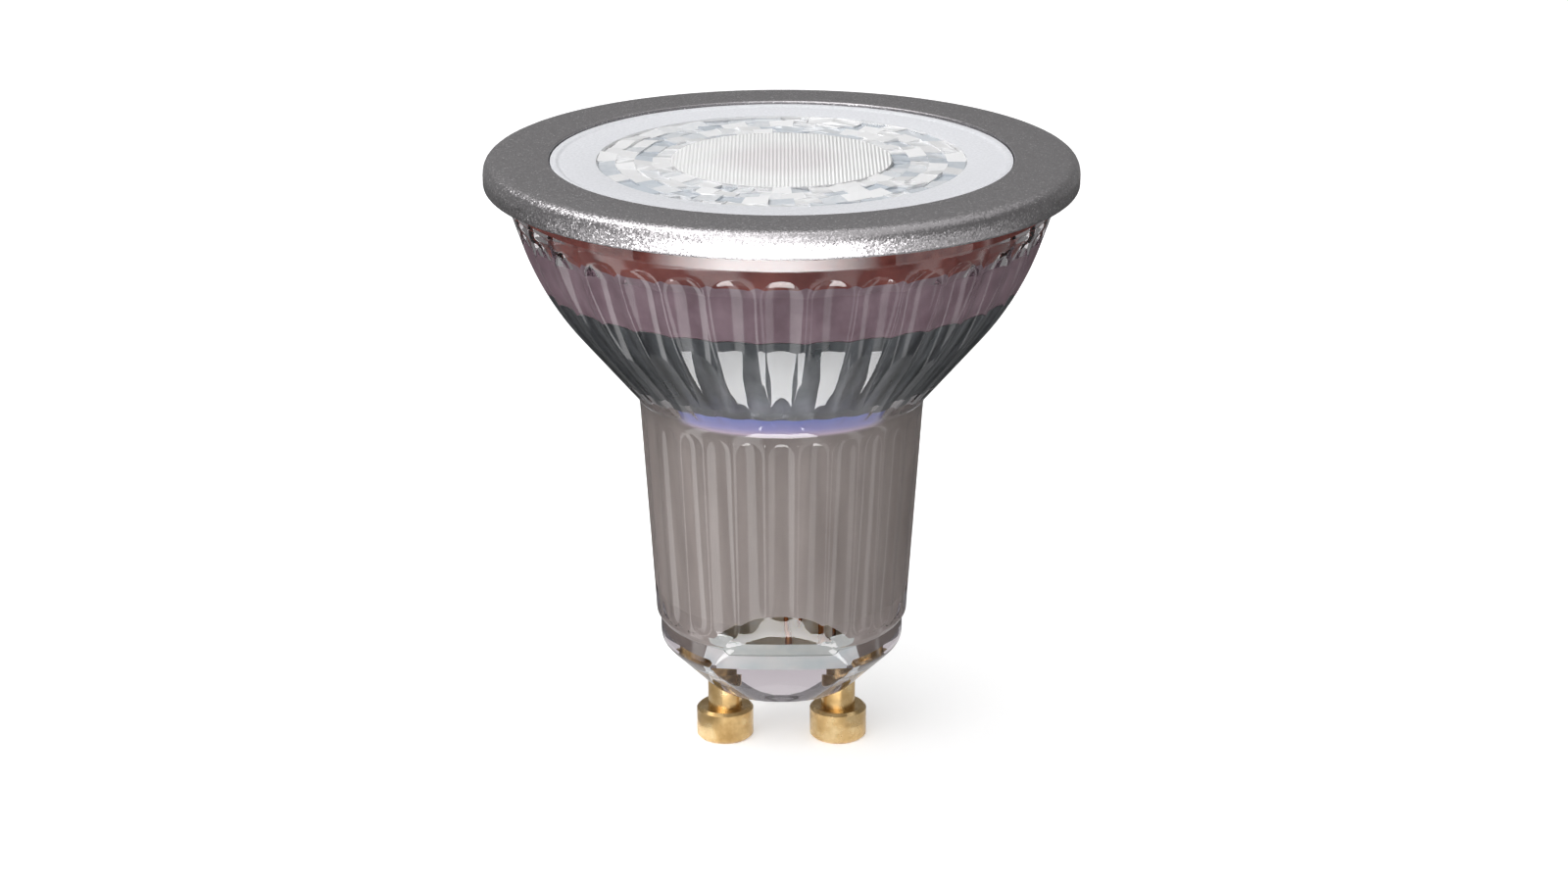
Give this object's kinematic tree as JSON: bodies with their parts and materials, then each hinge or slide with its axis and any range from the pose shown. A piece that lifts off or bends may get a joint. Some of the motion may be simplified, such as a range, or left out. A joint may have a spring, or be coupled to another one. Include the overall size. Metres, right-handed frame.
{
  "type": "spotlight bulb",
  "caption": "Reflector spotlight bulb with a twist-lock pin cap, a fluted clear glass body, a facetted lens inside a silver front ring, and an LED board and its driver inside.",
  "frame": {"origin": "on the bulb's axis, in the plane of the pin ends", "axes": "+Z along the axis from the pins to the lens, X through both pins, Y towards the back"},
  "size_m": [0.05, 0.05, 0.0529],
  "materials": {
    "pin_brass": "turned, lightly tarnished",
    "body_glass": "pressed, fire-polished",
    "potting_silicone": "cast, satin",
    "wire_copper": "drawn, enamelled",
    "sleeve_plastic": "moulded, matt",
    "driver_laminate": "sawn laminate, satin",
    "capacitor_can": "drawn can in a shrunk sleeve",
    "inductor_ferrite": "pressed and fired, matt",
    "film_case": "dipped, glossy",
    "fuse_coating": "dipped, matt",
    "package_epoxy": "moulded, matt",
    "dish_aluminium": "pressed, satin",
    "led_board_mask": "white lacquered",
    "led_ceramic": "fired, matt",
    "led_gel": "cast, satin",
    "screw_steel": "zinc plated",
    "lead_tinned": "tinned",
    "holder_plastic": "moulded, satin",
    "gasket_silicone": "moulded, matt",
    "lens_plastic": "moulded, polished with frosted bands",
    "ring_lacquer": "silver flake lacquer"
  },
  "bodies": {
    "root": {"contact_pin_left": "pin_brass", "contact_pin_right": "pin_brass", "glass_body": "body_glass", "base_potting": "potting_silicone", "mains_wire_left": "wire_copper", "mains_wire_right": "wire_copper", "driver_sleeve": "sleeve_plastic", "driver_board": "driver_laminate", "smoothing_capacitor": "capacitor_can", "inductor_core": "inductor_ferrite", "inductor_winding": "wire_copper", "film_capacitor": "film_case", "fuse_resistor": "fuse_coating", "bridge_rectifier": "package_epoxy", "driver_chip": "package_epoxy", "heat_dish": "dish_aluminium", "led_board": "led_board_mask", "led_substrate": "led_ceramic", "led_phosphor": "led_gel", "board_screws": "screw_steel", "led_pin_left": "lead_tinned", "led_pin_right": "lead_tinned", "lens_holder": "holder_plastic", "rim_gasket": "gasket_silicone", "lens": "lens_plastic", "front_ring": "ring_lacquer"}
  },
  "joints": []
}
